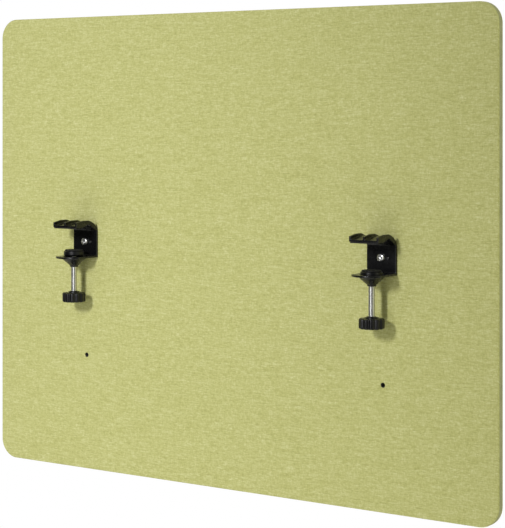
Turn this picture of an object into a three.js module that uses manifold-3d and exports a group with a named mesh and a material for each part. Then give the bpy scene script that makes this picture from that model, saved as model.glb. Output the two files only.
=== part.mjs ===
// Desk privacy panel: a cloth-covered board that hangs on two screw clamps.
// Millimetres, +Z up. The origin is on the desk's edge: midway between the clamps, at the level of the
// desk top under the upper jaws, in the plane where the desk's edge meets the clamps' back plates.
// The clamps are on the -Y side of the board and +X is to the right of someone who faces them.

import * as THREE from 'three';
import { mergeVertices } from 'three/addons/utils/BufferGeometryUtils.js';
import Module from 'manifold-3d';

const wasm = await Module();
wasm.setup();

// ---------------------------------------------------------------- driving dimensions

const INCH = 25.4;
const GAP = 0.3;                          // clearance between pieces that touch

const PANEL = {
  width: 30 * INCH,
  height: 606,                            // a nominal 24 in
  thickness: 12,
  cornerRadius: 1 * INCH,
  cover: 0.9,                             // thickness of each cloth cover
  turnedIn: 2.4,                          // how deep each cover is turned in over the edge
  band: 1.2,                              // thickness of the strip round the edge
};

const HOLES = {
  fromCentre: 9 * INCH,                   // both columns of holes, each side of the middle
  upper: 12 * INCH,                       // height of the clamps' screws above the bottom edge
  lower: 6 * INCH,                        // height of the spare holes
  coverRadius: 3.1,
};

const INSERT = {
  bodyRadius: 3.6, flangeRadius: 4.6, flange: 0.8, length: 8.4,
  boreRadius: 2.6, boreDepth: 7.4,
};

const SCREW = {
  headRadius: 4.9, head: 3.1, shankRadius: 2.3, length: 13.2,
  recess: 1.9, cross: 5, slot: 1.1,      // the cross recess: its depth, span and slot width
};

const PIN = { offset: 9.5, radius: 1.5, proud: 0.9, length: 9.6, point: 2.2 };

// The bracket's side view. Distances out are from the board's face, and heights are from its screw.
const BRACKET = {
  width: 40,
  plate: 3,                               // thickness of the back plate
  bottom: -20.6,                          // underside of the lower jaw
  jawThickness: 2.6,
  innerFoot: 15.3,                        // where the shoulder leans out from the plate, inside and outside
  outerFoot: 14.2,
  elbow: [6, 25.3],                       // control point of the shoulder's outer curve
  ridgeOut: 20,
  ridgeTop: 27.2,
  ridgeUnder: 24.6,
  tipOut: 45,
  tipTop: 23.2,
  tipUnder: 20.65,
  landOut: 31,                            // the flat land for the grip runs from here to the tip
  tipRadius: 24,                          // round front of the lower jaw, about the spindle
  holeRadius: 2.9,
  pinHoleRadius: 1.8,
};

const RIB = { width: 2.6, foot: 16, elbow: [6, 27], top: 29.6, levelTo: 32, tipTop: 27.2, sink: 1.2 };

// The funnel under the lower jaw. Its points are [radius, height above the funnel's foot].
const BOSS = {
  bottom: -32.3,
  boreRadius: 4.3,
  lipRadius: 5.4,
  lipChamfer: 0.6,
  flare: [[5.4, 2], [8.6, 4.6], [12.2, 7.6], [15.2, 10.4]],
  topRadius: 16.4,                        // where the flare meets the jaw
};

const GRIP = { width: 38, depth: 12.5, thickness: 1.3, cornerRadius: 1.5 };

const SPINDLE = { out: 26, radius: 4, studRadius: 2.5, stud: 3, length: 62.5 };

const PAD = {
  radius: 13.6, rim: 2.4, height: 3.4, topRadius: 12.2,
  holeRadius: 2.9, recessRadius: 5.2, recess: 1.6,
  skirt: 3.6, skirtRadius: 10.4, skirtTaper: 0.9,
};

// The dish in the lower jaw that the pad's skirt sinks into when it is wound down.
const DISH = { clearance: 0.5, depth: PAD.skirt };

const FACING = { radius: 12, thickness: 1.1 };

const RING = { radius: 4.4, holeRadius: 2.8, thickness: 0.6 };

const KNOB = {
  top: -50,                               // from where the spindle bears on the pad
  radius: 15.4, height: 12.4, bevel: 2, flutes: 12, fluteDepth: 1.5,
  collarRadius: 7.2, collar: 1.5, neckRadius: 5.3, neck: 0.7, boreRadius: 4.3,
};

const NUT = { acrossFlats: 13, height: 6.5, boreRadius: 4.3, pocketGap: 0.35 };

// How far each spindle is screwed in from its lowest position, where the pad rests in the lower jaw.
const SCREWED_IN = { left: 3.6, right: 0 };

const COLOURS = {
  cloth: { color: 0xbfc081, roughness: 0.95, metalness: 0 },
  band: { color: 0x92926e, roughness: 0.8, metalness: 0 },
  board: { color: 0x6d6b62, roughness: 1, metalness: 0 },
  blackCasting: { color: 0x1d1e20, roughness: 0.5, metalness: 0.1 },
  blackPlastic: { color: 0x1a1a1c, roughness: 0.45, metalness: 0 },
  rubber: { color: 0x161616, roughness: 0.9, metalness: 0 },
  zinc: { color: 0xc9ccce, roughness: 0.25, metalness: 1 },
  steel: { color: 0xb4b6b6, roughness: 0.35, metalness: 1 },
  darkSteel: { color: 0x4a4a47, roughness: 0.5, metalness: 1 },
};

// ---------------------------------------------------------------- helpers

// A closed geometry as a solid for cutting and joining.
function solidOf(geometry) {
  const bare = geometry.index ? geometry.toNonIndexed() : geometry.clone();
  bare.deleteAttribute('normal');
  bare.deleteAttribute('uv');
  const merged = mergeVertices(bare, 1e-4);
  return new wasm.Manifold(new wasm.Mesh({
    numProp: 3,
    vertProperties: new Float32Array(merged.attributes.position.array),
    triVerts: new Uint32Array(merged.index.array),
  }));
}

function geometryOf(solid) {
  const mesh = solid.getMesh();
  const geometry = new THREE.BufferGeometry();
  geometry.setAttribute('position', new THREE.BufferAttribute(mesh.vertProperties, 3));
  geometry.setIndex(new THREE.BufferAttribute(mesh.triVerts, 1));
  geometry.computeVertexNormals();
  return geometry;
}

// Joins the first group of geometries and cuts the second group out of them.
function combine(joined, cuts = []) {
  let solid = solidOf(joined[0]);
  for (const geometry of joined.slice(1)) {
    solid = solid.add(solidOf(geometry));
  }
  for (const geometry of cuts) {
    solid = solid.subtract(solidOf(geometry));
  }
  return geometryOf(solid);
}

// A shape drawn in X and Z, made solid from y = front to y = back.
function extrudeInY(shape, front, back, curveSegments = 10) {
  const depth = back - front;
  const geometry = new THREE.ExtrudeGeometry(shape, { depth, bevelEnabled: false, curveSegments });
  const axes = [new THREE.Vector3(1, 0, 0), new THREE.Vector3(0, 0, 1), new THREE.Vector3(0, -1, 0)];
  geometry.applyMatrix4(new THREE.Matrix4().makeBasis(...axes));
  return geometry.translate(0, back, 0);
}

// A side view drawn as distance out (towards -Y) and height, made solid over a width centred on x.
function extrudeSideways(shape, x, width) {
  const geometry = new THREE.ExtrudeGeometry(shape, {
    depth: width, bevelEnabled: false, curveSegments: 8,
  });
  const axes = [new THREE.Vector3(0, -1, 0), new THREE.Vector3(0, 0, 1), new THREE.Vector3(-1, 0, 0)];
  geometry.applyMatrix4(new THREE.Matrix4().makeBasis(...axes));
  return geometry.translate(x + width / 2, 0, 0);
}

// A shape drawn in X and Y, made solid between two heights.
function extrudeUp(shape, low, high, curveSegments = 4) {
  const depth = high - low;
  const geometry = new THREE.ExtrudeGeometry(shape, { depth, bevelEnabled: false, curveSegments });
  return geometry.translate(0, 0, low);
}

// A solid of revolution about the Z axis from [radius, height] points that start and end on the axis.
function turned(points, segments = 32) {
  const profile = points.map(([radius, height]) => new THREE.Vector2(radius, height));
  return new THREE.LatheGeometry(profile, segments).rotateX(Math.PI / 2);
}

// The same about an axis along Y: heights in the profile become distances out towards -Y.
function turnedOutwards(points, segments = 24) {
  return turned(points, segments).rotateX(Math.PI / 2);
}

// A ring of revolution about the Z axis, with a square section.
function turnedRing(outer, inner, low, high, segments = 32) {
  return turned([[inner, low], [outer, low], [outer, high], [inner, high], [inner, low]], segments);
}

function rod(radius, low, high, segments = 24) {
  return turned([[0, low], [radius, low], [radius, high], [0, high]], segments);
}

function rodOutwards(radius, from, to, segments = 24) {
  return turnedOutwards([[0, from], [radius, from], [radius, to], [0, to]], segments);
}

// A rectangle with round corners, centred on x and drawn up from y = low.
function roundedRectangle(width, height, radius, low, Outline = THREE.Shape) {
  const [left, right, high] = [-width / 2, width / 2, low + height];
  const outline = new Outline();
  outline.moveTo(left + radius, low);
  outline.lineTo(right - radius, low);
  outline.absarc(right - radius, low + radius, radius, -Math.PI / 2, 0);
  outline.lineTo(right, high - radius);
  outline.absarc(right - radius, high - radius, radius, 0, Math.PI / 2);
  outline.lineTo(left + radius, high);
  outline.absarc(left + radius, high - radius, radius, Math.PI / 2, Math.PI);
  outline.lineTo(left, low + radius);
  outline.absarc(left + radius, low + radius, radius, Math.PI, 1.5 * Math.PI);
  return outline;
}

function piece(name, geometry, finish) {
  const mesh = new THREE.Mesh(geometry, new THREE.MeshStandardMaterial(finish));
  mesh.name = name;
  return mesh;
}

// ---------------------------------------------------------------- the board and its covers
// Here y = 0 is the front face of the cloth and z = 0 is the bottom edge of the board.

const sides = [{ name: 'left', sign: -1 }, { name: 'right', sign: 1 }];

function panelOutline(inset, Outline = THREE.Shape) {
  const { width, height, cornerRadius } = PANEL;
  return roundedRectangle(width - 2 * inset, height - 2 * inset, cornerRadius - inset, inset, Outline);
}

// A cloth cover with its edges turned in over the board, from y = front to y = back.
function cover(outline, front, back, pocketFront, pocketBack) {
  const inside = extrudeInY(panelOutline(PANEL.cover), pocketFront, pocketBack);
  return combine([extrudeInY(outline, front, back)], [inside]);
}

function frontCover() {
  const outline = panelOutline(0);
  const addHole = (x, z, radius) => {
    const hole = new THREE.Path();
    hole.absarc(x, z, radius, 0, 2 * Math.PI, true);
    outline.holes.push(hole);
  };
  for (const { sign } of sides) {
    addHole(sign * HOLES.fromCentre, HOLES.upper, HOLES.coverRadius);
    addHole(sign * HOLES.fromCentre, HOLES.lower, HOLES.coverRadius);
    addHole(sign * HOLES.fromCentre + PIN.offset, HOLES.upper, BRACKET.pinHoleRadius);
  }
  return cover(outline, 0, PANEL.turnedIn, PANEL.cover, PANEL.turnedIn + 1);
}

function rearCover() {
  const { thickness, turnedIn } = PANEL;
  const front = thickness - turnedIn;
  return cover(panelOutline(0), front, thickness, front - 1, thickness - PANEL.cover);
}

const coreFront = PANEL.cover + GAP;
const coreBack = PANEL.thickness - PANEL.cover - GAP;

function edgeBand() {
  const outline = panelOutline(0);
  outline.holes.push(panelOutline(PANEL.band, THREE.Path));
  const front = PANEL.turnedIn + GAP;
  return extrudeInY(outline, front, PANEL.thickness - front);
}

function insertPocket() {
  const { bodyRadius, flangeRadius, flange, length } = INSERT;
  return turnedOutwards([
    [0, -length - GAP], [bodyRadius + GAP, -length - GAP], [bodyRadius + GAP, -flange - GAP],
    [flangeRadius + GAP, -flange - GAP], [flangeRadius + GAP, 1], [0, 1],
  ], 20);
}

function coreBoard() {
  const cuts = [];
  for (const { sign } of sides) {
    const x = sign * HOLES.fromCentre;
    cuts.push(insertPocket().translate(x, coreFront, HOLES.upper));
    cuts.push(insertPocket().translate(x, coreFront, HOLES.lower));
    cuts.push(rodOutwards(BRACKET.pinHoleRadius, -PIN.length, 1).translate(x + PIN.offset, 0, HOLES.upper));
  }
  return combine([extrudeInY(panelOutline(PANEL.band + GAP), coreFront, coreBack)], cuts);
}

function threadedInsert() {
  const { bodyRadius, flangeRadius, flange, length, boreRadius, boreDepth } = INSERT;
  return turnedOutwards([
    [0, -length], [bodyRadius, -length], [bodyRadius, -flange], [flangeRadius, -flange],
    [flangeRadius, 0], [boreRadius, 0], [boreRadius, -boreDepth], [0, -boreDepth],
  ], 20);
}

// ---------------------------------------------------------------- one clamp
// Here y = 0 is the front face of the cloth and z = 0 is the mounting screw's axis.

const plateFront = GAP + BRACKET.plate;
const jawTop = BRACKET.bottom + BRACKET.jawThickness;

// The plate, the shoulder that leans out of it and the upper jaw, as one bent strip.
function upperProfile() {
  const b = BRACKET;
  const profile = new THREE.Shape();
  profile.moveTo(GAP, b.bottom);
  profile.lineTo(plateFront, b.bottom);
  profile.lineTo(plateFront, b.innerFoot);
  profile.lineTo(b.ridgeOut - 1, b.ridgeUnder);
  profile.lineTo(b.landOut, b.tipUnder);
  profile.lineTo(b.tipOut, b.tipUnder);
  profile.lineTo(b.tipOut, b.tipTop);
  profile.lineTo(b.ridgeOut, b.ridgeTop);
  profile.quadraticCurveTo(...b.elbow, GAP, b.outerFoot);
  return profile;
}

// A stiffening rib that follows the shoulder, runs level past the ridge and falls at the tip.
function ribProfile() {
  const b = BRACKET;
  const profile = new THREE.Shape();
  const [elbowOut, elbowUp] = RIB.elbow;
  profile.moveTo(b.ridgeOut, b.ridgeTop - RIB.sink);
  profile.lineTo(b.tipOut, b.tipTop - RIB.sink);
  profile.lineTo(b.tipOut, RIB.tipTop);
  profile.lineTo(RIB.levelTo, RIB.top);
  profile.lineTo(b.ridgeOut, RIB.top);
  profile.quadraticCurveTo(elbowOut, elbowUp, GAP, RIB.foot);
  profile.lineTo(GAP + RIB.sink, b.outerFoot);
  profile.quadraticCurveTo(b.elbow[0] + RIB.sink, b.elbow[1] - RIB.sink, b.ridgeOut, b.ridgeTop - RIB.sink);
  return profile;
}

// The lower jaw in plan: as wide as the plate, with a round front about the spindle.
function lowerJawPlan() {
  const half = BRACKET.width / 2;
  const reach = Math.acos(half / BRACKET.tipRadius);
  const plan = new THREE.Shape();
  plan.moveTo(half, -GAP);
  plan.lineTo(-half, -GAP);
  plan.absarc(0, -SPINDLE.out, BRACKET.tipRadius, Math.PI + reach, 2 * Math.PI - reach);
  plan.closePath();
  return plan;
}

function boss() {
  const { bottom, lipRadius, lipChamfer, flare, topRadius } = BOSS;
  const jaw = BRACKET.bottom;
  return turned([
    [0, bottom], [lipRadius - lipChamfer, bottom], [lipRadius, bottom + lipChamfer],
    ...flare.map(([radius, up]) => [radius, bottom + up]),
    [topRadius, jaw + 0.2], [topRadius, jaw + 1], [0, jaw + 1],
  ], 48);
}

function dish() {
  const { clearance, depth } = DISH;
  const widest = PAD.radius + clearance;
  const floor = jawTop - depth;
  return turned([
    [0, floor], [widest - PAD.skirtTaper, floor], [widest, floor + PAD.skirtTaper],
    [widest, jawTop + 1], [0, jawTop + 1],
  ], 48);
}

function bracket() {
  const b = BRACKET;
  const ribsAt = [-1, 0, 1].map((step) => step * (b.width - RIB.width) / 2);
  const joined = [
    extrudeSideways(upperProfile(), 0, b.width),
    extrudeUp(lowerJawPlan(), b.bottom, jawTop, 20),
    boss().translate(0, -SPINDLE.out, 0),
    ...ribsAt.map((x) => extrudeSideways(ribProfile(), x, RIB.width)),
  ];
  const cuts = [
    rodOutwards(b.holeRadius, 0, plateFront + 1),
    rodOutwards(b.pinHoleRadius, 0, plateFront + 1, 16).translate(PIN.offset, 0, 0),
    rod(BOSS.boreRadius, BOSS.bottom - 1, jawTop + 1, 32).translate(0, -SPINDLE.out, 0),
    dish().translate(0, -SPINDLE.out, 0),
  ];
  return combine(joined, cuts);
}

// A pan-head screw with a cross recess in its head.
function mountingScrew() {
  const { headRadius, head, shankRadius, length, recess, cross, slot } = SCREW;
  const seat = plateFront + GAP / 3;
  const top = seat + head;
  const body = turnedOutwards([
    [0, top - length], [shankRadius - 0.7, top - length], [shankRadius, top - length + 0.8],
    [shankRadius, seat], [headRadius, seat], [headRadius, seat + 1.4], [headRadius - 0.7, top - 0.7],
    [headRadius - 2, top - 0.1], [0, top],
  ], 32);
  const slots = [[cross, slot], [slot, cross]].map(([wide, tall]) => {
    const box = new THREE.BoxGeometry(wide, recess + 1, tall);
    return box.translate(0, -(top - recess) - (recess + 1) / 2, 0);
  });
  return combine([body], slots);
}

// A headless pin through the plate whose point bites the board, so that the clamp can't turn.
function locatingPin() {
  const front = plateFront + PIN.proud;
  const back = front - PIN.length;
  return turnedOutwards([
    [0, back], [PIN.radius, back + PIN.point], [PIN.radius, front - 0.4], [PIN.radius - 0.5, front],
    [0, front],
  ], 16).translate(PIN.offset, 0, 0);
}

function jawGrip() {
  const top = BRACKET.tipUnder - GAP / 2;
  const plan = roundedRectangle(GRIP.width, GRIP.depth, GRIP.cornerRadius, -BRACKET.tipOut + 0.5);
  return extrudeUp(plan, top - GRIP.thickness, top);
}

// The pieces that the screw carries are drawn about its axis, with z = 0 where it bears on the pad.

function spindle() {
  const { radius, studRadius, stud, length } = SPINDLE;
  return turned([
    [0, -length], [radius - 0.8, -length], [radius, -length + 0.8], [radius, -GAP / 2],
    [studRadius, -GAP / 2], [studRadius, stud - 0.3], [studRadius - 0.3, stud], [0, stud],
  ], 24);
}

function swivelPad() {
  const { radius, rim, height, topRadius, holeRadius, recessRadius, recess } = PAD;
  const { skirt, skirtRadius, skirtTaper } = PAD;
  return turned([
    [holeRadius, 0], [skirtRadius, 0], [skirtRadius, -skirt], [radius - skirtTaper, -skirt],
    [radius, skirtTaper - skirt], [radius, rim], [topRadius, rim + 0.7],
    [topRadius, height], [recessRadius, height], [recessRadius, height - recess],
    [holeRadius, height - recess], [holeRadius, 0],
  ], 40);
}

function padFacing() {
  const low = PAD.height + GAP / 2;
  const high = low + FACING.thickness;
  return turned([
    [0, low], [FACING.radius, low], [FACING.radius, high - 0.3], [FACING.radius - 0.3, high], [0, high],
  ], 40);
}

function retainingRing() {
  const low = PAD.height - PAD.recess + GAP / 2;
  return turnedRing(RING.radius, RING.holeRadius, low, low + RING.thickness, 24);
}

const knobFloor = KNOB.top - KNOB.collar - KNOB.neck - KNOB.height;

// The fluted outline: a circle with shallow, evenly spaced hollows for the fingers.
function knobOutline(inset) {
  const points = [];
  const steps = KNOB.flutes * 8;
  for (let i = 0; i < steps; i += 1) {
    const angle = (2 * Math.PI * i) / steps;
    const hollow = ((1 - Math.cos(KNOB.flutes * angle)) / 2) ** 2;
    const radius = KNOB.radius - inset - KNOB.fluteDepth * hollow;
    points.push(new THREE.Vector2(radius * Math.cos(angle), radius * Math.sin(angle)));
  }
  return new THREE.Shape(points);
}

function hexagon(acrossFlats) {
  const radius = acrossFlats / Math.sqrt(3);
  const corners = Array.from({ length: 6 }, (_, i) => {
    const angle = (i * Math.PI) / 3;
    return new THREE.Vector2(radius * Math.cos(angle), radius * Math.sin(angle));
  });
  return new THREE.Shape(corners);
}

function knob() {
  const k = KNOB;
  const bodyTop = knobFloor + k.height;
  const body = new THREE.ExtrudeGeometry(knobOutline(k.bevel), {
    depth: k.height - 2 * k.bevel, bevelEnabled: true, bevelSize: k.bevel, bevelThickness: k.bevel,
    bevelSegments: 2,
  }).translate(0, 0, knobFloor + k.bevel);
  const hub = turned([
    [0, bodyTop - 1], [k.collarRadius, bodyTop - 1], [k.collarRadius, bodyTop + k.collar - 0.4],
    [k.collarRadius - 0.4, bodyTop + k.collar], [k.neckRadius, bodyTop + k.collar],
    [k.neckRadius, KNOB.top], [0, KNOB.top],
  ], 32);
  const pocket = extrudeUp(hexagon(NUT.acrossFlats + 2 * NUT.pocketGap), knobFloor - 1,
    knobFloor + 1 + NUT.height + NUT.pocketGap);
  const bore = rod(k.boreRadius, knobFloor, KNOB.top + 1, 32);
  return combine([body, hub], [pocket, bore]);
}

function knobNut() {
  const low = knobFloor + 1;
  const hex = extrudeUp(hexagon(NUT.acrossFlats), low, low + NUT.height);
  return combine([hex], [rod(NUT.boreRadius, low - 1, low + NUT.height + 1, 32)]);
}

// ---------------------------------------------------------------- assembly

const board = new THREE.Group();
board.add(
  piece('core_board', coreBoard(), COLOURS.board),
  piece('front_cover', frontCover(), COLOURS.cloth),
  piece('rear_cover', rearCover(), COLOURS.cloth),
  piece('edge_band', edgeBand(), COLOURS.band),
);
for (const { name, sign } of sides) {
  for (const [level, height] of [['upper', HOLES.upper], ['lower', HOLES.lower]]) {
    const insert = piece(`threaded_insert_${level}_${name}`, threadedInsert(), COLOURS.darkSteel);
    insert.position.set(sign * HOLES.fromCentre, coreFront, height);
    board.add(insert);
  }
}

function clamp(side) {
  const named = (name, geometry, finish) => piece(`${name}_${side}`, geometry, finish);
  const screwed = new THREE.Group();
  screwed.add(
    named('swivel_pad', swivelPad(), COLOURS.blackPlastic),
    named('pad_facing', padFacing(), COLOURS.rubber),
    named('retaining_ring', retainingRing(), COLOURS.steel),
    named('spindle', spindle(), COLOURS.zinc),
    named('knob', knob(), COLOURS.blackPlastic),
    named('knob_nut', knobNut(), COLOURS.steel),
  );
  screwed.position.set(0, -SPINDLE.out, jawTop + GAP + SCREWED_IN[side]);
  const group = new THREE.Group();
  group.add(
    named('bracket', bracket(), COLOURS.blackCasting),
    named('mounting_screw', mountingScrew(), COLOURS.zinc),
    named('locating_pin', locatingPin(), COLOURS.darkSteel),
    named('jaw_grip', jawGrip(), COLOURS.rubber),
    screwed,
  );
  return group;
}

for (const { name, sign } of sides) {
  const group = clamp(name);
  group.position.set(sign * HOLES.fromCentre, 0, HOLES.upper);
  board.add(group);
}

// The desk top is level with the underside of the grips, and its edge meets the back plates.
const deskTop = HOLES.upper + BRACKET.tipUnder - GAP / 2 - GRIP.thickness;
board.position.set(0, plateFront, -deskTop);

const deskPrivacyPanel = new THREE.Group();
deskPrivacyPanel.add(board);

export default deskPrivacyPanel;
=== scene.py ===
"""The looks of the desk privacy panel: a cloth-covered board on two black screw clamps.

Everything is in metres in the row frame. Mesh builders work in millimetres and are scaled at the end.
"""

import math

import bmesh
import bpy
import numpy as np
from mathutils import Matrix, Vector
from mathutils.geometry import delaunay_2d_cdt


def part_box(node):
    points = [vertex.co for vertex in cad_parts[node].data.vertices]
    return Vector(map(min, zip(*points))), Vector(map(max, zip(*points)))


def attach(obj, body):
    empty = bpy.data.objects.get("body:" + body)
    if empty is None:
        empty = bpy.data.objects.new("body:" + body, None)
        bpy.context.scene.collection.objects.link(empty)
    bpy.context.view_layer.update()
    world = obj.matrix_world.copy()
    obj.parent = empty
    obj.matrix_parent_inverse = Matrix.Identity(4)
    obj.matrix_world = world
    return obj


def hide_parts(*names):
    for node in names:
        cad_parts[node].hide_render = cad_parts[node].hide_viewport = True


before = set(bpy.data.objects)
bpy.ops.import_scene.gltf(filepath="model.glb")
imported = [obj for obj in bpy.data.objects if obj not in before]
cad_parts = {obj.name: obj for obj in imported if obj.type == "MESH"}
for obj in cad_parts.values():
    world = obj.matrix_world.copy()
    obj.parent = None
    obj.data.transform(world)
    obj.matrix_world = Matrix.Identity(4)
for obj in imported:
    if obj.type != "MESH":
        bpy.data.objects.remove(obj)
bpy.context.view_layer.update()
MM = 0.001
SIDES = ("left", "right")

# ---------------------------------------------------------------- sizes that the boxes don't give, in mm

# Round sizes are radii, and hexagons (the nut and its pocket) are given across their flats. A thread runs
# from root to crest. Heights are measured from the piece's own end or face.

CORNER_RADIUS = 25.4
CLOTH = {"thickness": 0.8, "fold": 1.9, "fold_steps": 7, "turned_in": 2.4, "flat_from": 3.0, "grid": 14.0}
COVER_HOLE = 3.1
PIN_HOLE = 1.8
# Round a hole the cloth has rings of points at these distances, and near it sinks towards the hole.
HOLE = {"points": 28, "rings": (0.0, 1.4, 4.0), "clear": 7.0, "near": 4.5, "sink": 0.34, "sink_reach": 4.0}
BAND = {"thickness": 1.2, "crown": 0.25, "round": 0.35}
SPINDLE = {"crest": 4.0, "root": 3.66, "pitch": 1.25, "stud": 2.5, "stud_length": 3.0}
SCREW = {"crest": 2.3, "root": 1.95, "pitch": 0.8, "head": 4.9, "head_height": 3.1, "head_rim": 1.3,
         "dome_power": 3.6, "recess": 1.9}
CROSS = {"reach": 2.7, "half_width": 0.62, "wall": 0.45, "end_slope": 0.9, "floor_rise": 0.35}
INSERT = {"body": 3.6, "flange": 4.6, "flange_height": 0.8, "bore": 2.5, "root": 2.75, "pitch": 0.8,
          "depth": 7.4}
KNOB = {"radius": 15.4, "height": 12.4, "bevel": 2.0, "flutes": 12, "depth": 1.5, "collar": 7.2,
        "collar_height": 1.5, "neck": 5.3, "bore": 4.3, "pocket": 13.7, "pocket_height": 7.85}
NUT = {"across": 13.0, "bore": 4.0, "root": 4.25, "pitch": 1.25}
PAD = {"radius": 13.6, "rim": 2.4, "height": 3.4, "top": 12.2, "hole": 2.9, "recess_radius": 5.2,
       "recess": 1.6, "skirt": 3.2, "skirt_radius": 10.4, "taper": 1.4}
FACING = {"grooves": (10.0, 7.8, 5.6, 3.4), "groove_half_width": 0.5, "groove_depth": 0.35}
GRIP = {"ribs": 9, "rib_height": 0.38, "rows_per_rib": 8, "edge": 0.3}
RING = {"inner": 2.8, "half_gap_degrees": 14}
PIN = {"radius": 1.5, "top": 1.05, "point": 2.2}
FLOOR = {"radius": 1150.0, "top": -724.0, "thickness": 4.0}


# ---------------------------------------------------------------- mesh helpers


def box_of(node):
    """The node's lowest and highest corner, in mm."""
    low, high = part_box(node)
    return np.array(low) / MM, np.array(high) / MM


def centre_of(node):
    low, high = box_of(node)
    return (low + high) / 2


def mesh_piece(name, points, faces, smooth_angle=35):
    """A new mesh object from points in mm, shaded smooth but for edges sharper than smooth_angle."""
    mesh = bpy.data.meshes.new(name)
    mesh.from_pydata([tuple(p) for p in np.asarray(points, float) * MM], [], faces)
    piece = bpy.data.objects.new(name, mesh)
    bpy.context.scene.collection.objects.link(piece)
    finish_mesh(piece, smooth_angle)
    return piece


def finish_mesh(piece, smooth_angle=35):
    """Joins doubled points, turns the faces outwards and shades the mesh smooth."""
    work = bmesh.new()
    work.from_mesh(piece.data)
    bmesh.ops.remove_doubles(work, verts=work.verts, dist=1e-7)
    bmesh.ops.recalc_face_normals(work, faces=work.faces)
    work.to_mesh(piece.data)
    work.free()
    piece.data.shade_smooth()
    piece.data.set_sharp_from_angle(angle=math.radians(smooth_angle))


def turn_points(points, out=False):
    """Points about the Z axis, or with out about an axis along Y whose heights go out towards -Y."""
    points = np.asarray(points, float)
    return np.stack([points[:, 0], -points[:, 2], points[:, 1]], axis=1) if out else points


def filleted(profile, radius, closed=True, steps=3):
    """The profile with each corner rounded by about that radius; an open one keeps its two ends."""
    profile = [np.array(p, float) for p in profile]
    made = []
    for i, corner in enumerate(profile):
        if not closed and i in (0, len(profile) - 1):
            made.append(corner)
            continue
        before, after = profile[i - 1] - corner, profile[(i + 1) % len(profile)] - corner
        reach = min(radius, 0.45 * np.linalg.norm(before), 0.45 * np.linalg.norm(after))
        start = corner + before / np.linalg.norm(before) * reach
        end = corner + after / np.linalg.norm(after) * reach
        for t in np.linspace(0, 1, steps + 1):
            made.append((1 - t) ** 2 * start + 2 * t * (1 - t) * corner + t**2 * end)
    return made


def loft(rings, closed=False):
    """Points and faces that join rings with the same number of points; an open loft is capped at its ends."""
    count, points = len(rings[0]), np.concatenate(rings)
    faces = []
    last = len(rings) if closed else len(rings) - 1
    for k in range(last):
        a, b = k * count, (k + 1) % len(rings) * count
        for i in range(count):
            j = (i + 1) % count
            faces.append((a + i, a + j, b + j, b + i))
    if not closed:
        faces.append(tuple(reversed(range(count))))
        faces.append(tuple(range(last * count, last * count + count)))
    return points, faces


def ring(radius, height, count):
    """A ring about the Z axis. The radius is a number or a function of the angle."""
    angles = np.arange(count) * 2 * math.pi / count
    radii = np.array([radius(a) if callable(radius) else radius for a in angles])
    return np.stack([radii * np.cos(angles), radii * np.sin(angles), np.full(count, float(height))], axis=1)


def turned(name, profile, at, fillet=0.25, closed=False, count=64, out=False, steps=3):
    """A turned piece from [radius, height] points. An open profile starts and ends near the axis."""
    rings = [ring(max(r, 0.02), h, count) for r, h in filleted(profile, fillet, closed, steps)]
    points, faces = loft(rings, closed)
    return mesh_piece(name, turn_points(points, out) + at, faces)


def threaded(root, crest, pitch, low, high, chamfer=False, wide=False, per_turn=36):
    """A bmesh of a helical thread about Z, cut off square at low and high and capped.

    A wide one has broad crests. With chamfer it grows out from just inside its root at low.
    """
    mid = (root + crest) / 2
    shape = [root, crest, crest, crest, crest, root] if wide else [root, mid, crest, crest, mid, root]
    steps = len(shape)
    rows = int(math.ceil(((high - low) / pitch + 3) * steps))
    work = bmesh.new()
    grid = []
    for k in range(rows):
        row = []
        for i in range(per_turn):
            angle = 2 * math.pi * i / per_turn
            z = low - 1.5 * pitch + pitch * (i / per_turn + k / steps)
            radius = shape[k % steps]
            if chamfer:
                radius = min(radius, root - 0.15 + max(0.0, z - low))
            row.append(work.verts.new((radius * math.cos(angle), radius * math.sin(angle), z)))
        grid.append(row)
    for k in range(rows - 1):
        for i in range(per_turn):
            if i + 1 < per_turn:
                corners = (grid[k][i], grid[k][i + 1], grid[k + 1][i + 1], grid[k + 1][i])
            elif k + 1 + steps < rows:
                corners = (grid[k][i], grid[k + steps][0], grid[k + 1 + steps][0], grid[k + 1][i])
            else:
                continue
            work.faces.new(corners)
    for z, normal in ((low, (0, 0, -1)), (high, (0, 0, 1))):
        everything = work.verts[:] + work.edges[:] + work.faces[:]
        bmesh.ops.bisect_plane(
            work, geom=everything, dist=1e-6, plane_co=(0, 0, z), plane_no=normal, clear_outer=True)
        rim = [e for e in work.edges if e.is_boundary and all(abs(v.co.z - z) < 1e-4 for v in e.verts)]
        bmesh.ops.edgeloop_fill(work, edges=rim)
    bmesh.ops.recalc_face_normals(work, faces=work.faces)
    return work


def piece_of(work, name, at, out=False):
    """A mesh object from a bmesh in mm about the Z axis, moved to at."""
    points = np.array([v.co for v in work.verts], float)
    work.verts.index_update()
    faces = [tuple(v.index for v in f.verts) for f in work.faces]
    work.free()
    return mesh_piece(name, turn_points(points, out) + at, faces)


def cut_or_join(piece, other, operation):
    """Applies a boolean with other and removes other."""
    change = piece.modifiers.new("change", "BOOLEAN")
    change.object, change.operation, change.solver = other, operation, "EXACT"
    apply_modifiers(piece)
    bpy.data.objects.remove(other)
    finish_mesh(piece)
    return piece


def apply_modifiers(piece):
    """Replaces the piece's mesh by what its modifiers make of it."""
    shown = piece.evaluated_get(bpy.context.evaluated_depsgraph_get())
    mesh = bpy.data.meshes.new_from_object(shown)
    piece.modifiers.clear()
    piece.data = mesh


def settle(piece, body, slot, material, *nodes):
    """Gives a finished piece its material and its body, and hides the CAD nodes that it stands for."""
    piece.data.materials.clear()
    piece.data.materials.append(material)
    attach(piece, body)
    if nodes:
        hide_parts(*nodes)
    return piece


# ---------------------------------------------------------------- material helpers


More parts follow.
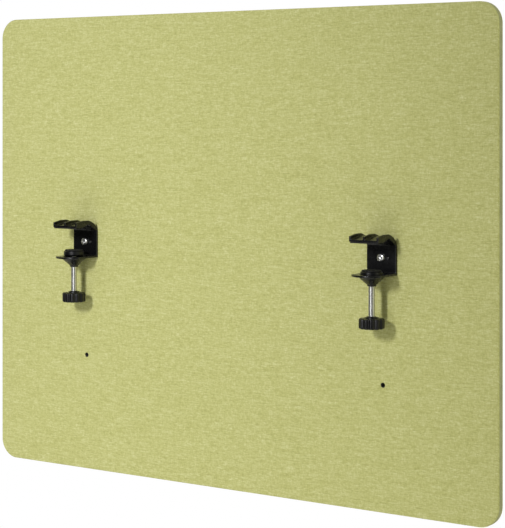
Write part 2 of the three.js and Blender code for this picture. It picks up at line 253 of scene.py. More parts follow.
def linear(red, green, blue):
    """A colour given in sRGB from 0 to 255, as the shader's linear values."""
    def one(c):
        c /= 255
        return c / 12.92 if c <= 0.04045 else ((c + 0.055) / 1.055) ** 2.4
    return (one(red), one(green), one(blue), 1.0)


class Finish:
    """A Principled material built from short calls; sockets and numbers can be mixed as inputs."""

    def __init__(self, name, **settings):
        self.material = bpy.data.materials.new(name)
        self.material.use_nodes = True
        self.tree = self.material.node_tree
        self.shader = self.tree.nodes["Principled BSDF"]
        for key, value in settings.items():
            self.shader.inputs[key.replace("_", " ")].default_value = value
        self.place = self.tree.nodes.new("ShaderNodeTexCoord").outputs["Object"]

    def feed(self, socket, value):
        if hasattr(value, "is_linked"):
            self.tree.links.new(value, socket)
        else:
            socket.default_value = value

    def node(self, kind, inputs=(), output=0, **attributes):
        made = self.tree.nodes.new(kind)
        for key, value in attributes.items():
            setattr(made, key, value)
        for key, value in dict(inputs).items():
            self.feed(made.inputs[key], value)
        return made.outputs[output]

    def maths(self, operation, a, b=0.0, clamp=False):
        return self.node("ShaderNodeMath", {0: a, 1: b}, operation=operation, use_clamp=clamp)

    def vector(self, x, y, z):
        return self.node("ShaderNodeCombineXYZ", {0: x, 1: y, 2: z})

    def split(self, vector=None):
        made = self.tree.nodes.new("ShaderNodeSeparateXYZ")
        self.feed(made.inputs[0], vector or self.place)
        return made.outputs

    def scaled(self, x, y, z):
        return self.node("ShaderNodeVectorMath", {0: self.place, 1: (x, y, z)}, operation="MULTIPLY")

    def noise(self, vector, scale, detail=2.0, roughness=0.5):
        inputs = {"Vector": vector, "Scale": scale, "Detail": detail, "Roughness": roughness}
        return self.node("ShaderNodeTexNoise", inputs)

    def ramp(self, value, low, high, to_low=0.0, to_high=1.0):
        """The value moved from the range low to high into to_low to to_high."""
        inputs = {"Value": value, "From Min": low, "From Max": high, "To Min": to_low, "To Max": to_high}
        return self.node("ShaderNodeMapRange", inputs, "Result")

    def weighted(self, *pairs):
        """The sum of values, each times its weight."""
        total = None
        for value, weight in pairs:
            part = self.maths("MULTIPLY", value, weight)
            total = part if total is None else self.maths("ADD", total, part)
        return total

    def mix(self, share, a, b):
        made = self.tree.nodes.new("ShaderNodeMix")
        made.data_type = "RGBA"
        self.feed(made.inputs[0], share)
        self.feed(made.inputs[6], a)
        self.feed(made.inputs[7], b)
        return made.outputs[2]

    def bump(self, height, distance, strength=1.0):
        normal = self.node("ShaderNodeBump", {"Height": height, "Strength": strength, "Distance": distance})
        self.tree.links.new(normal, self.shader.inputs["Normal"])

    def colour(self, value):
        self.feed(self.shader.inputs["Base Color"], value)

    def rough(self, value):
        self.feed(self.shader.inputs["Roughness"], value)

    def pointiness_mask(self, low=0.52, high=0.62):
        """How exposed the surface is, from 0 in flats and hollows to 1 on sharp outer edges.

        With low above high it is the other way round: 1 in hollows.
        """
        pointed = self.tree.nodes.new("ShaderNodeNewGeometry").outputs["Pointiness"]
        return self.ramp(pointed, low, high)


# ---------------------------------------------------------------- materials


def cloth(name, dark, middle, pale, pitch=0.00058, slub=0.00105):
    """Melange linen: crossed yarns, each with darker and paler stretches, and thicker slubs among them."""
    f = Finish(name, Roughness=0.93, Sheen_Weight=0.12, Sheen_Roughness=0.5, Specular_IOR_Level=0.18)
    x, y, z = f.split()
    u, v = f.maths("ADD", x, y), f.maths("ADD", z, y)

    def streaks(along, across, width, length, seed):
        """Streaks along each yarn of that width. The seed keeps one call's streaks from another's."""
        row = f.maths("FLOOR", f.maths("DIVIDE", across, width))
        shift = f.node("ShaderNodeTexWhiteNoise", {"W": f.maths("ADD", row, seed)}, noise_dimensions="1D")
        place = f.vector(f.maths("DIVIDE", along, length), f.maths("MULTIPLY", shift, 311.0), seed)
        return f.noise(place, 1.0, detail=1.5, roughness=0.55)

    weft, warp = streaks(u, v, pitch, 0.0060, 3.1), streaks(v, u, pitch, 0.0040, 7.7)
    thick_weft, thick_warp = streaks(u, v, slub, 0.0044, 12.9), streaks(v, u, slub, 0.0050, 21.3)
    long_weft = streaks(u, v, slub, 0.0150, 33.7)
    columns, rows = f.maths("DIVIDE", u, pitch), f.maths("DIVIDE", v, pitch)
    crossing = f.maths("ADD", f.maths("FLOOR", columns), f.maths("FLOOR", rows))
    parity = f.maths("MODULO", f.maths("ABSOLUTE", crossing), 2.0)
    yarn = f.node("ShaderNodeMix", {0: parity, 2: weft, 3: warp})
    slubs = f.weighted((thick_weft, 0.42), (long_weft, 0.34), (thick_warp, 0.24))
    cloud = f.noise(f.scaled(1, 1, 1), 55.0, detail=2.0)
    tone = f.weighted((yarn, 0.32), (slubs, 0.66), (cloud, 0.02))
    ramp = f.tree.nodes.new("ShaderNodeValToRGB")
    f.feed(ramp.inputs[0], tone)
    ends = ramp.color_ramp.elements
    ends[0].position, ends[0].color = 0.31, dark
    ends[1].position, ends[1].color = 0.69, pale
    centre = ends.new(0.5)
    centre.color = middle
    f.colour(ramp.outputs[0])

    def hump(across):
        return f.maths("ABSOLUTE", f.maths("SINE", f.maths("MULTIPLY", across, math.pi)))

    over = f.node("ShaderNodeMix", {0: parity, 2: hump(rows), 3: hump(columns)})
    f.bump(f.weighted((over, 0.8), (slubs, 0.9)), 0.00020, 0.45)
    return f.material


def band_strip():
    f = Finish("edge_strip", Roughness=0.88, Sheen_Weight=0.1, Specular_IOR_Level=0.2)
    fine = f.noise(f.scaled(1, 1, 1), 900.0, detail=3.0, roughness=0.7)
    cloud = f.noise(f.scaled(1, 1, 1), 90.0)
    tone = f.ramp(f.weighted((fine, 0.7), (cloud, 0.3)), 0.35, 0.65)
    f.colour(f.mix(tone, linear(140, 142, 106), linear(178, 178, 140)))
    f.bump(fine, 0.00012, 0.7)
    return f.material


def board():
    f = Finish("pressed_board", Roughness=0.95, Specular_IOR_Level=0.15)
    flake = f.node("ShaderNodeTexVoronoi", {"Vector": f.scaled(1, 3, 1), "Scale": 420.0}, output=1)
    grey = f.node("ShaderNodeSeparateColor", {0: flake})
    f.colour(f.mix(f.ramp(grey, 0.0, 1.0), linear(92, 88, 78), linear(132, 126, 112)))
    f.bump(f.noise(f.scaled(1, 1, 1), 1400.0, detail=3.0), 0.00015, 0.7)
    return f.material


def casting():
    """Satin black powder coat on a casting, paler on its outer edges: partly wear, partly a painted
    highlight.
    """
    f = Finish("black_powder_coat", Specular_IOR_Level=0.40)
    grain = f.noise(f.scaled(1, 1, 1), 1500.0, detail=2.0, roughness=0.6)
    broad = f.noise(f.scaled(1, 1, 1), 120.0, detail=3.0)
    # painted highlight and wear: sharp outer edges get a paler colour, in patches
    edge = f.maths("MULTIPLY", f.pointiness_mask(0.51, 0.60), f.ramp(broad, 0.35, 0.65, 0.35, 1.0))
    f.colour(f.mix(f.maths("MULTIPLY", edge, 0.55), linear(13, 13, 14), linear(54, 54, 54)))
    f.rough(f.ramp(f.weighted((grain, 0.5), (broad, 0.5)), 0.3, 0.7, 0.20, 0.34))
    f.bump(grain, 0.00008, 0.35)
    return f.material


def plastic():
    f = Finish("black_moulded_plastic", Specular_IOR_Level=0.34)
    grain = f.noise(f.scaled(1, 1, 1), 2600.0, detail=2.0, roughness=0.6)
    broad = f.noise(f.scaled(1, 1, 1), 160.0, detail=3.0)
    # painted highlight and wear: sharp outer edges get a paler colour
    f.colour(f.mix(f.maths("MULTIPLY", f.pointiness_mask(0.52, 0.62), 0.35), linear(11, 11, 13), linear(48, 48, 50)))
    f.rough(f.ramp(broad, 0.3, 0.7, 0.30, 0.44))
    f.bump(grain, 0.00006, 0.45)
    return f.material


def rubber():
    f = Finish("black_rubber", Specular_IOR_Level=0.35)
    dust = f.noise(f.scaled(1, 1, 1), 700.0, detail=4.0, roughness=0.65)
    f.colour(f.mix(f.ramp(dust, 0.45, 0.75), linear(20, 20, 20), linear(44, 43, 42)))
    f.rough(f.ramp(dust, 0.3, 0.7, 0.68, 0.85))
    f.bump(dust, 0.00008, 0.6)
    return f.material


def metal(name, colour, dull_and_shaded, low_rough, high_rough, streak):
    """Plated or plain metal with fine marks and dull spots, and painted shade that darkens its hollows.
    streak is the marks' scale on X, Y and Z.
    """
    f = Finish(name, Metallic=1.0)
    marks = f.noise(f.scaled(*streak), 1.0, detail=3.0, roughness=0.6)
    spots = f.noise(f.scaled(1, 1, 1), 500.0, detail=3.0)
    # painted shade: the colour turns darker in hollows, such as the screw's cross recess; the dull spots are
    # the metal's own random tone
    hollow = f.pointiness_mask(0.50, 0.42)
    tone = f.maths("ADD", f.maths("MULTIPLY", hollow, 0.6), f.ramp(spots, 0.45, 0.75, 0.0, 0.35), clamp=True)
    f.colour(f.mix(tone, colour, dull_and_shaded))
    f.rough(f.ramp(f.weighted((marks, 0.6), (spots, 0.4)), 0.3, 0.7, low_rough, high_rough))
    f.bump(marks, 0.00003, 0.35)
    return f.material


FINISH = {
    "cloth": cloth("linen_melange", dark=linear(160, 160, 88), middle=linear(194, 194, 126),
                   pale=linear(222, 222, 170)),
    "edge_band": band_strip(),
    "board": board(),
    "black_casting": casting(),
    "black_plastic": plastic(),
    "rubber": rubber(),
    "zinc": metal("zinc_plate", (0.70, 0.70, 0.68, 1), (0.32, 0.32, 0.31, 1), 0.24, 0.36,
                  streak=(300, 300, 2600)),
    "steel": metal("bright_steel", (0.60, 0.60, 0.60, 1), (0.25, 0.25, 0.25, 1), 0.25, 0.42,
                   streak=(1800, 1800, 900)),
    "dark_steel": metal("phosphated_steel", (0.10, 0.10, 0.095, 1), (0.03, 0.03, 0.03, 1), 0.38, 0.55,
                        streak=(1500, 1500, 1500)),
}

# ---------------------------------------------------------------- the board, its covers and its edge strip

panel_low, panel_high = box_of("front_cover")
HALF_WIDTH, HEIGHT = panel_high[0], panel_high[2] - panel_low[2]
FRONT, BACK = panel_low[1], box_of("rear_cover")[1][1]


def outline(inset, per_corner=16, spacing=9.0):
    """Points round the board's edge, moved in by inset, in X and Z; the count doesn't depend on the inset."""
    reach = CORNER_RADIUS
    half, low, high = HALF_WIDTH, panel_low[2], panel_high[2]
    centres = [(half - reach, low + reach, -90), (half - reach, high - reach, 0),
               (-half + reach, high - reach, 90), (-half + reach, low + reach, 180)]
    lengths = [HEIGHT - 2 * reach, 2 * (half - reach)] * 2
    radius = reach - inset

    def on_corner(x, z, degrees):
        angle = math.radians(degrees)
        return (x + radius * math.cos(angle), z + radius * math.sin(angle))

    points = []
    for k, (x, z, start) in enumerate(centres):
        for step in range(per_corner + 1):
            points.append(on_corner(x, z, start + 90 * step / per_corner))
        next_x, next_z, _ = centres[(k + 1) % 4]
        first = np.array(on_corner(x, z, start + 90))
        last = np.array(on_corner(next_x, next_z, start + 90))
        count = int(lengths[k] / spacing)
        points += [tuple(first + (last - first) * t) for t in np.linspace(0, 1, count + 1)[1:-1]]
    return np.array(points)


def band_of_faces(first, second, count):
    """The faces between two loops of count points, given by each loop's first point."""
    return [(first + i, first + (i + 1) % count, second + (i + 1) % count, second + i) for i in range(count)]


def layer_rings(sunk):
    """The inset and depth of each ring from the turned-in edge to the face, for a side sunk in the cloth."""
    fold, steps = CLOTH["fold"], CLOTH["fold_steps"]
    rings = [(sunk, CLOTH["turned_in"])]
    for step in range(steps + 1):
        angle = math.radians(90 * step / steps)
        reach = fold - sunk
        rings.append((fold - reach * math.cos(angle), fold - reach * math.sin(angle)))
    rings.append((fold + CLOTH["flat_from"], sunk))
    return rings


def flat_plan(flat, holes):
    """The flat middle's points in X and Z: its rim, rings about each hole and a grid.

    It also gives the edges that the triangles keep and each hole's first point.
    """
    count, per_hole = len(flat), HOLE["points"]
    plane = [tuple(p) for p in flat]
    edges = [(i, (i + 1) % count) for i in range(count)]
    firsts = []
    for hole_x, hole_z, radius in holes:
        for grow in HOLE["rings"]:
            first = len(plane)
            angles = np.arange(per_hole) * 2 * math.pi / per_hole
            reach = radius + grow
            plane += [(hole_x + reach * math.cos(a), hole_z + reach * math.sin(a)) for a in angles]
            edges += [(first + i, first + (i + 1) % per_hole) for i in range(per_hole)]
            if grow == 0.0:
                firsts.append(first)
    step, corner = CLOTH["grid"], CORNER_RADIUS
    low, high = flat.min(axis=0) + step / 2, flat.max(axis=0) - step / 2
    for x in np.arange(low[0], high[0], step):
        for z in np.arange(low[1], high[1], step):
            past_side = abs(x) > HALF_WIDTH - corner
            in_corner = past_side and (z < panel_low[2] + corner or z > panel_high[2] - corner)
            near_hole = any(math.hypot(x - hx, z - hz) < radius + HOLE["clear"] for hx, hz, radius in holes)
            if not in_corner and not near_hole:
                plane.append((x, z))
    return plane, edges, firsts


def sink_at(x, z, holes):
    """How far the cloth is pulled in at a point, close to a hole."""
    sink = 0.0
    for hole_x, hole_z, radius in holes:
        away = math.hypot(x - hole_x, z - hole_z) - radius
        if away < HOLE["near"]:
            sink = HOLE["sink"] * max(0.0, 1 - away / HOLE["sink_reach"]) ** 2
    return sink


def cover(name, front, holes):
    """A cloth cover: flat on its face, rolled over the board's edge and turned in behind it. It is flat cut
    cloth, so its two layers are the cloth's outer and inner side. holes are (x, z, radius)."""
    face, inward = (FRONT, 1) if front else (BACK, -1)
    points, faces = [], []

    def add(rows):
        start = len(points)
        points.extend(rows)
        return start

    def layer(sunk):
        """Adds one side of the cloth and gives the points of its edge and of each hole's rim."""
        starts = []
        for inset, depth in layer_rings(sunk):
            flat = outline(inset)
            starts.append(add([(x, face + inward * depth, z) for x, z in flat]))
        count = len(flat)
        for a, b in zip(starts, starts[1:]):
            faces.extend(band_of_faces(a, b, count))
        plane, edges, firsts = flat_plan(flat, holes)
        made, _, triangles, kept, _, _ = delaunay_2d_cdt([Vector(p) for p in plane], edges, [], 0, 1e-5)
        index = {}
        for i, origins in enumerate(kept):
            if origins and origins[0] < count:
                index[i] = starts[-1] + origins[0]
            else:
                x, z = made[i]
                index[i] = add([(x, face + inward * (sunk + sink_at(x, z, holes)), z)])
        for triangle in triangles:
            middle = sum((made[i] for i in triangle), Vector((0, 0))) / 3
            if all(math.hypot(middle.x - hx, middle.y - hz) > radius * 0.985 for hx, hz, radius in holes):
                faces.append(tuple(index[i] for i in triangle))
        where = {origins[0]: index[i] for i, origins in enumerate(kept) if origins}
        edge = [starts[0] + i for i in range(count)]
        return [edge] + [[where[first + i] for i in range(HOLE["points"])] for first in firsts]

    for outer, inner in zip(layer(0.0), layer(CLOTH["thickness"])):
        n = len(outer)
        faces += [(outer[i], outer[(i + 1) % n], inner[(i + 1) % n], inner[i]) for i in range(n)]
    return mesh_piece(name, points, faces, smooth_angle=50)


def hole_list():
    """The front cover's holes as (x, z, radius): one at each insert and each locating pin."""
    found = []
    for side in SIDES:
        for level in ("upper", "lower"):
            x, _, z = centre_of(f"threaded_insert_{level}_{side}")
            found.append((x, z, COVER_HOLE))
        x, _, z = centre_of(f"locating_pin_{side}")
        found.append((x, z, PIN_HOLE))
    return found


def edge_strip():
    """The strip round the edge, slightly crowned, with a groove between it and each cover."""
    low, high = box_of("edge_band")
    start, end = low[1], high[1]
    thick, crown, soft = BAND["thickness"], BAND["crown"], BAND["round"]
    middle = (start + end) / 2
    profile = [(thick, start), (crown + soft, start), (crown, start + soft)]
    for t in np.linspace(0, 1, 7)[1:-1]:
        y = start + soft + (end - start - 2 * soft) * t
        profile.append((crown * ((y - middle) / (middle - start)) ** 2, y))
    profile += [(crown, end - soft), (crown + soft, end), (thick, end)]
    rings = []
    for inset, y in profile:
        rings.append(np.array([(x, y, z) for x, z in outline(inset)]))
    points, faces = loft(rings, closed=True)
    return mesh_piece("edge_band_strip", points, faces, smooth_angle=50)


front = cover("front_cover_cloth", True, hole_list())
settle(front, "panel", "cloth", FINISH["cloth"], "front_cover")
rear = cover("rear_cover_cloth", False, [])
settle(rear, "panel", "cloth", FINISH["cloth"], "rear_cover")
settle(edge_strip(), "panel", "edge_band", FINISH["edge_band"], "edge_band")


def use_cad(node, slot):
    """Keeps a CAD node whose shape is right and gives it a better material."""
    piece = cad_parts[node]
    piece.data.materials.clear()
    piece.data.materials.append(FINISH[slot])


use_cad("core_board", "board")


def threaded_insert(level, side):
    """A flanged insert with an internal thread, closed at its inner end."""
    node = f"threaded_insert_{level}_{side}"
    low, high = box_of(node)
    x, _, z = centre_of(node)
    length, flange = high[1] - low[1], INSERT["flange_height"]
    body = turned(f"{node}_body", [(0, -length), (INSERT["body"], -length), (INSERT["body"], -flange - 0.3),
                                   (INSERT["flange"], -flange), (INSERT["flange"], 0), (0, 0)],
                  (x, low[1], z), fillet=0.3, out=True, count=48)
    bore = threaded(INSERT["bore"], INSERT["root"], INSERT["pitch"], -INSERT["depth"], 1.0, per_turn=32)
    cut_or_join(body, piece_of(bore, "bore", (x, low[1], z), out=True), "DIFFERENCE")
    settle(body, "panel", "dark_steel", FINISH["dark_steel"], node)


for level in ("upper", "lower"):
    for side in SIDES:
        threaded_insert(level, side)

# ---------------------------------------------------------------- the clamps


def cast_bracket(side):
    """The bracket with the soft edges and fillets of a casting: the CAD shape, remeshed and relaxed."""
    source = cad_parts[f"bracket_{side}"]
    piece = bpy.data.objects.new(f"bracket_{side}_cast", source.data.copy())
    bpy.context.scene.collection.objects.link(piece)
    piece.data.materials.clear()
    remesh = piece.modifiers.new("remesh", "REMESH")
    remesh.mode, remesh.voxel_size, remesh.adaptivity = "VOXEL", 0.42 * MM, 0.0
    apply_modifiers(piece)
    relax = piece.modifiers.new("relax", "SMOOTH")
    relax.factor, relax.iterations = 0.5, 6
    thin = piece.modifiers.new("thin", "DECIMATE")
    thin.ratio = 0.3
    apply_modifiers(piece)
    piece.data.shade_smooth()
    settle(piece, "panel", "black_casting", FINISH["black_casting"], f"bracket_{side}")


def cross_recess(x, y):
    """How deep the cross recess is at a point of the head, with sloping walls and a round floor."""
    depth = 0.0
    for along, across in ((x, y), (y, x)):
        side = 1 - min(1.0, max(0.0, (abs(across) - CROSS["half_width"]) / CROSS["wall"]))
        end = 1 - min(1.0, max(0.0, (abs(along) - CROSS["reach"] + 0.5) / CROSS["end_slope"]))
        depth = max(depth, side * side * (3 - 2 * side) * end * end * (3 - 2 * end))
    away = min(1.0, math.hypot(x, y) / CROSS["reach"])
    return depth * SCREW["recess"] * (1 - CROSS["floor_rise"] * away)


def mounting_screw(side):
    """A pan-head screw with a cross recess and a cut thread."""
    node = f"mounting_screw_{side}"
    low, high = box_of(node)
    x, _, z = centre_of(node)
    length, head, rim = high[1] - low[1], SCREW["head_height"], SCREW["head_rim"]
    count, radius = 96, SCREW["head"]
    rings = [ring(0.02, -head, count), ring(radius - 0.2, -head, count), ring(radius, -head + 0.2, count),
             ring(radius, -head + rim, count)]
    # close rings over the rounded shoulder, then even ones over the recess
    for r in np.concatenate([radius - radius * 0.012 * np.arange(1, 14) ** 1.2, np.linspace(3.75, 0.02, 30)]):
        dome = math.sqrt(max(0.0, 1 - (r / radius) ** SCREW["dome_power"]))
        top = -head + rim + (head - rim) * dome
        rows = ring(r, top, count)
        rows[:, 2] -= [cross_recess(px, py) for px, py, _ in rows]
        rings.append(rows)
    points, faces = loft(rings)
    piece = mesh_piece(f"{node}_body", turn_points(points, out=True) + (x, low[1], z), faces, smooth_angle=60)
    shank = threaded(SCREW["root"], SCREW["crest"], SCREW["pitch"], -length, -head + 0.4, chamfer=True)
    cut_or_join(piece, piece_of(shank, "shank", (x, low[1], z), out=True), "UNION")
    settle(piece, "panel", "zinc", FINISH["zinc"], node)


def locating_pin(side):
    """A small round-topped pin with a conical point."""
    node = f"locating_pin_{side}"
    low, high = box_of(node)
    x, _, z = centre_of(node)
    long, radius = high[1] - low[1], PIN["radius"]
    profile = [(0, -long), (radius, PIN["point"] - long), (radius, -0.35), (PIN["top"], -0.03), (0, 0)]
    piece = turned(f"{node}_body", profile, (x, low[1], z), fillet=0.25, out=True, count=40)
    settle(piece, "panel", "dark_steel", FINISH["dark_steel"], node)


def jaw_grip(side):
    """A rubber strip under the upper jaw with ribs across it on its lower face."""
    node = f"jaw_grip_{side}"
    low, high = box_of(node)
    depth, soft = high[1] - low[1], GRIP["edge"]
    steps = GRIP["ribs"] * GRIP["rows_per_rib"]
    rings = []
    for k in range(steps + 1):
        y = low[1] + depth * k / steps
        wave = 0.5 - 0.5 * math.cos(2 * math.pi * GRIP["ribs"] * k / steps)
        groove = GRIP["rib_height"] * wave**2 if 0 < k < steps else 0.0
        ends = 0.35 if k in (0, steps) else (0.1 if k in (1, steps - 1) else 0.0)
        a, b = low[0] + ends, high[0] - ends
        bottom, top = low[2] + groove, high[2]
        rings.append(np.array([
            (a + soft, y, bottom), (b - soft, y, bottom), (b, y, bottom + soft), (b, y, top - soft),
            (b - soft, y, top), (a + soft, y, top), (a, y, top - soft), (a, y, bottom + soft)]))
    points, faces = loft(rings)
    piece = mesh_piece(f"{node}_ribbed", points, faces, smooth_angle=50)
    settle(piece, "panel", "rubber", FINISH["rubber"], node)


def swivel_pad(side):
    """A round pad with a rim, a skirt that sinks into the jaw's dish, and a hole for the spindle's stud."""
    node = f"swivel_pad_{side}"
    _, high = box_of(node)
    x, y, _ = centre_of(node)
    p = PAD
    piece = turned(f"{node}_body", [
        (p["hole"], 0), (p["skirt_radius"], 0), (p["skirt_radius"], -p["skirt"]),
        (p["radius"] - p["taper"], -p["skirt"]), (p["radius"], p["taper"] - p["skirt"]),
        (p["radius"], p["rim"]), (p["top"], p["rim"] + 0.7), (p["top"], p["height"]),
        (p["recess_radius"], p["height"]),
        (p["recess_radius"], p["height"] - p["recess"]), (p["hole"], p["height"] - p["recess"]),
    ], (x, y, high[2] - p["height"]), fillet=0.4, closed=True, count=96, steps=4)
    settle(piece, f"pad_{side}", "black_plastic", FINISH["black_plastic"], node)


def pad_facing(side):
    """A rubber disc with shallow concentric grooves."""
    node = f"pad_facing_{side}"
    low, high = box_of(node)
    x, y, _ = centre_of(node)
    radius, top = (high[0] - low[0]) / 2, high[2] - low[2]
    profile = [(0, 0), (radius, 0), (radius, top - 0.05), (radius - 0.5, top)]
    half, deep = FACING["groove_half_width"], FACING["groove_depth"]
    for r in FACING["grooves"]:
        profile += [(r + half, top), (r, top - deep), (r - half, top)]
    profile.append((0, top))
    piece = turned(f"{node}_disc", profile, (x, y, low[2]), fillet=0.25, count=80)
    settle(piece, f"pad_{side}", "rubber", FINISH["rubber"], node)


def retaining_ring(side):
    """A split ring with a small gap, so that it springs over the spindle's end."""
    node = f"retaining_ring_{side}"
    low, high = box_of(node)
    x, y, _ = centre_of(node)
    outer, inner, tall = (high[0] - low[0]) / 2, RING["inner"], high[2] - low[2]
    section = filleted([(inner, 0), (outer, 0), (outer, tall), (inner, tall)], 0.12)
    rings = []
    gap = RING["half_gap_degrees"]
    for angle in np.linspace(math.radians(gap), math.radians(360 - gap), 60):
        across, along = math.cos(angle), math.sin(angle)
        rings.append(np.array([(x + r * across, y + r * along, low[2] + h) for r, h in section]))
    points, faces = loft(rings)
    piece = mesh_piece(f"{node}_split", points, faces)
    settle(piece, f"screw_{side}", "steel", FINISH["steel"], node)


def spindle(side):
    """A threaded rod with a plain stud on which the pad swivels."""
    node = f"spindle_{side}"
    low, high = box_of(node)
    x, y, _ = centre_of(node)
    s = SPINDLE
    top = high[2] - low[2]
    shoulder = top - s["stud_length"] - 0.15
    work = threaded(s["root"], s["crest"], s["pitch"], 0.0, shoulder, chamfer=True, wide=True)
    piece = piece_of(work, f"{node}_threaded", (x, y, low[2]))
    profile = [(0, shoulder - 1), (s["stud"], shoulder - 1), (s["stud"], top), (0, top)]
    stud = turned("stud", profile, (x, y, low[2]), fillet=0.3, count=40)
    cut_or_join(piece, stud, "UNION")
    settle(piece, f"screw_{side}", "zinc", FINISH["zinc"], node)


def hexagon(across, cap=math.inf):
    """The radius of a hexagon with that width across its flats at an angle, cut back to cap."""
    def radius(angle):
        return min(across / 2 / math.cos((angle + math.pi / 6) % (math.pi / 3) - math.pi / 6), cap)
    return radius


def knob(side):
    """A fluted knob with a collar above it and a hexagonal pocket for its nut below."""
    node = f"knob_{side}"
    low, _ = box_of(node)
    x, y, _ = centre_of(node)
    k = KNOB
    count = k["flutes"] * 14
    bevel, top, collar, neck, bore = (k[key] for key in ("bevel", "height", "collar", "neck", "bore"))

    def fluted(inset, share=1.0):
        def radius(angle):
            hollow = ((1 - math.cos(k["flutes"] * angle)) / 2) ** 2
            return k["radius"] - inset - share * k["depth"] * hollow
        return radius

    quarter = [math.radians(90 * step / 6) for step in range(7)]
    outside = [(fluted(bevel * (1 - math.sin(a))), bevel * (1 - math.cos(a))) for a in quarter]
    outside += [(fluted(0), bevel + (top - 2 * bevel) * share) for share in (0.25, 0.5, 0.75)]
    outside += [(fluted(bevel * (1 - math.cos(a))), top - bevel * (1 - math.sin(a))) for a in quarter]
    outside += [(fluted(3.2, 0.55), top + 0.02), (fluted(5.2, 0.0), top + 0.02)]
    rise = top + k["collar_height"]
    on_top = [(collar + 0.5, top + 0.03), (collar + 0.1, top + 0.16), (collar, top + 0.5),
              (collar, rise - 0.35), (collar - 0.12, rise - 0.1), (collar - 0.4, rise), (neck + 0.3, rise),
              (neck + 0.05, rise + 0.1), (neck, rise + 0.25), (neck, rise + 0.5), (neck - 0.18, rise + 0.7),
              (bore + 0.15, rise + 0.7), (bore, rise + 0.55)]
    across, ceiling = k["pocket"], k["pocket_height"]
    inside = [(bore, ceiling), (hexagon(across - 0.5), ceiling), (hexagon(across), ceiling - 0.25),
              (hexagon(across), 0.5), (hexagon(across + 0.5), 0.08), (hexagon(across + 1.2), 0.0)]
    points, faces = loft([ring(r, h, count) for r, h in outside + on_top + inside], closed=True)
    piece = mesh_piece(f"{node}_fluted", points + (x, y, low[2]), faces, smooth_angle=50)
    settle(piece, f"screw_{side}", "black_plastic", FINISH["black_plastic"], node)


def knob_nut(side):
    """A hexagon nut with chamfered corners and an internal thread."""
    node = f"knob_nut_{side}"
    low, high = box_of(node)
    x, y, _ = centre_of(node)
    tall, across, count = high[2] - low[2], NUT["across"], 72
    widest = across / math.sqrt(3)
    caps = [(0.02, 0.0), (across / 2 - 0.25, 0.0), (across / 2 + 0.1, 0.15), (widest, 0.75),
            (widest, tall - 0.75), (across / 2 + 0.1, tall - 0.15), (across / 2 - 0.25, tall), (0.02, tall)]
    points, faces = loft([ring(hexagon(across, cap), h, count) for cap, h in caps])
    piece = mesh_piece(f"{node}_body", points + (x, y, low[2]), faces)
    bore = threaded(NUT["bore"] + 0.05, NUT["root"] + 0.05, NUT["pitch"], -1.0, tall + 1.0)
    cut_or_join(piece, piece_of(bore, "bore", (x, y, low[2])), "DIFFERENCE")
    settle(piece, f"screw_{side}", "steel", FINISH["steel"], node)


for side in SIDES:
    cast_bracket(side)
    mounting_screw(side)
    locating_pin(side)
    jaw_grip(side)
    swivel_pad(side)
    pad_facing(side)
    retaining_ring(side)
    spindle(side)
    knob(side)
    knob_nut(side)

# ---------------------------------------------------------------- camera, light and floor

# The camera matches the photograph's perspective, and its shift stands for the crop. Places are in metres.
CAMERA = {"place": (1.2544, -1.7791, 0.1542), "turn": 34.25, "lens": 117.26, "shift_y": -0.2878}
# Each mapping is (from low, from high, to low, to high): a ray's direction, then the light's strength.
SURROUND = {"Y": (-0.62, -0.05, 0.06, 1.1), "Z": (-1.0, 1.0, 0.75, 1.15), "X": (-0.6, 0.6, 0.45, 1.0)}

scene = bpy.context.scene
scene.view_settings.view_transform = "Standard"

lens = bpy.data.cameras.new("camera")
lens.lens, lens.sensor_width, lens.clip_start, lens.clip_end = CAMERA["lens"], 36.0, 0.05, 50.0
lens.shift_y = CAMERA["shift_y"]
camera = bpy.data.objects.new("camera", lens)
camera.location = CAMERA["place"]
camera.rotation_euler = (math.radians(90), 0, math.radians(CAMERA["turn"]))
scene.collection.objects.link(camera)
scene.camera = camera


def lamp(name, place, target, size, power, colour=(1, 1, 1)):
    """A round area lamp; size is its diameter in metres."""
    data = bpy.data.lights.new(name, "AREA")
    data.shape, data.size, data.energy, data.color = "DISK", size, power, colour
    made = bpy.data.objects.new(name, data)
    made.location = place
    made.rotation_mode = "QUATERNION"
    made.rotation_quaternion = (Vector(target) - Vector(place)).to_track_quat("-Z", "Y")
    scene.collection.objects.link(made)


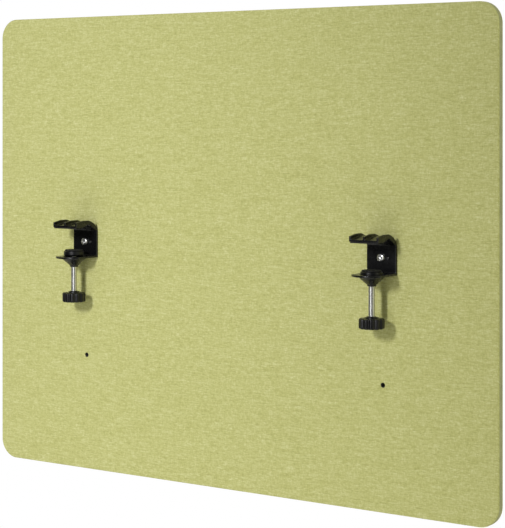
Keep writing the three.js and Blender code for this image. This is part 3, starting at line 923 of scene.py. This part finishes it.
# Both lamps are aimed past the board's left side, which evens the light across it.
lamp("key", (0.074, -1.60, 0.56), (-2.21, 0, -0.68), 0.34, 26.3, (1.0, 1.0, 1.04))
lamp("front", (0.10, -1.60, -0.20), (-1.02, 0, -0.20), 0.80, 5.2)


def studio():
    """A white surround, dark in front of the board and brightest on its right. The background shows white."""
    made = bpy.data.worlds.new("studio")
    made.use_nodes = True
    nodes, links = made.node_tree.nodes, made.node_tree.links

    def mapped(value, given):
        node = nodes.new("ShaderNodeMapRange")
        node.interpolation_type = "SMOOTHSTEP"
        links.new(value, node.inputs["Value"])
        for key, number in zip(("From Min", "From Max", "To Min", "To Max"), given):
            node.inputs[key].default_value = number
        return node.outputs["Result"]

    direction = nodes.new("ShaderNodeSeparateXYZ")
    links.new(nodes.new("ShaderNodeTexCoord").outputs["Generated"], direction.inputs[0])
    product, strength = nodes.new("ShaderNodeMath"), nodes.new("ShaderNodeMath")
    product.operation = strength.operation = "MULTIPLY"
    links.new(mapped(direction.outputs["Y"], SURROUND["Y"]), product.inputs[0])
    links.new(mapped(direction.outputs["Z"], SURROUND["Z"]), product.inputs[1])
    links.new(product.outputs[0], strength.inputs[0])
    links.new(mapped(direction.outputs["X"], SURROUND["X"]), strength.inputs[1])
    soft, white = nodes["Background"], nodes.new("ShaderNodeBackground")
    soft.inputs["Color"].default_value = (1.0, 1.0, 0.80, 1)
    white.inputs["Color"].default_value = (1, 1, 1, 1)
    links.new(strength.outputs[0], soft.inputs["Strength"])
    path, choose = nodes.new("ShaderNodeLightPath"), nodes.new("ShaderNodeMixShader")
    links.new(path.outputs["Is Camera Ray"], choose.inputs[0])
    links.new(soft.outputs[0], choose.inputs[1])
    links.new(white.outputs[0], choose.inputs[2])
    links.new(choose.outputs[0], nodes["World Output"].inputs["Surface"])
    return made


scene.world = studio()

floor_heights = (FLOOR["top"] - FLOOR["thickness"], FLOOR["top"])
floor = mesh_piece("floor", *loft([ring(FLOOR["radius"], height, 96) for height in floor_heights]))
pale = Finish("pale_floor", Roughness=0.8)
pale.colour(linear(238, 238, 236))
floor.data.materials.append(pale.material)
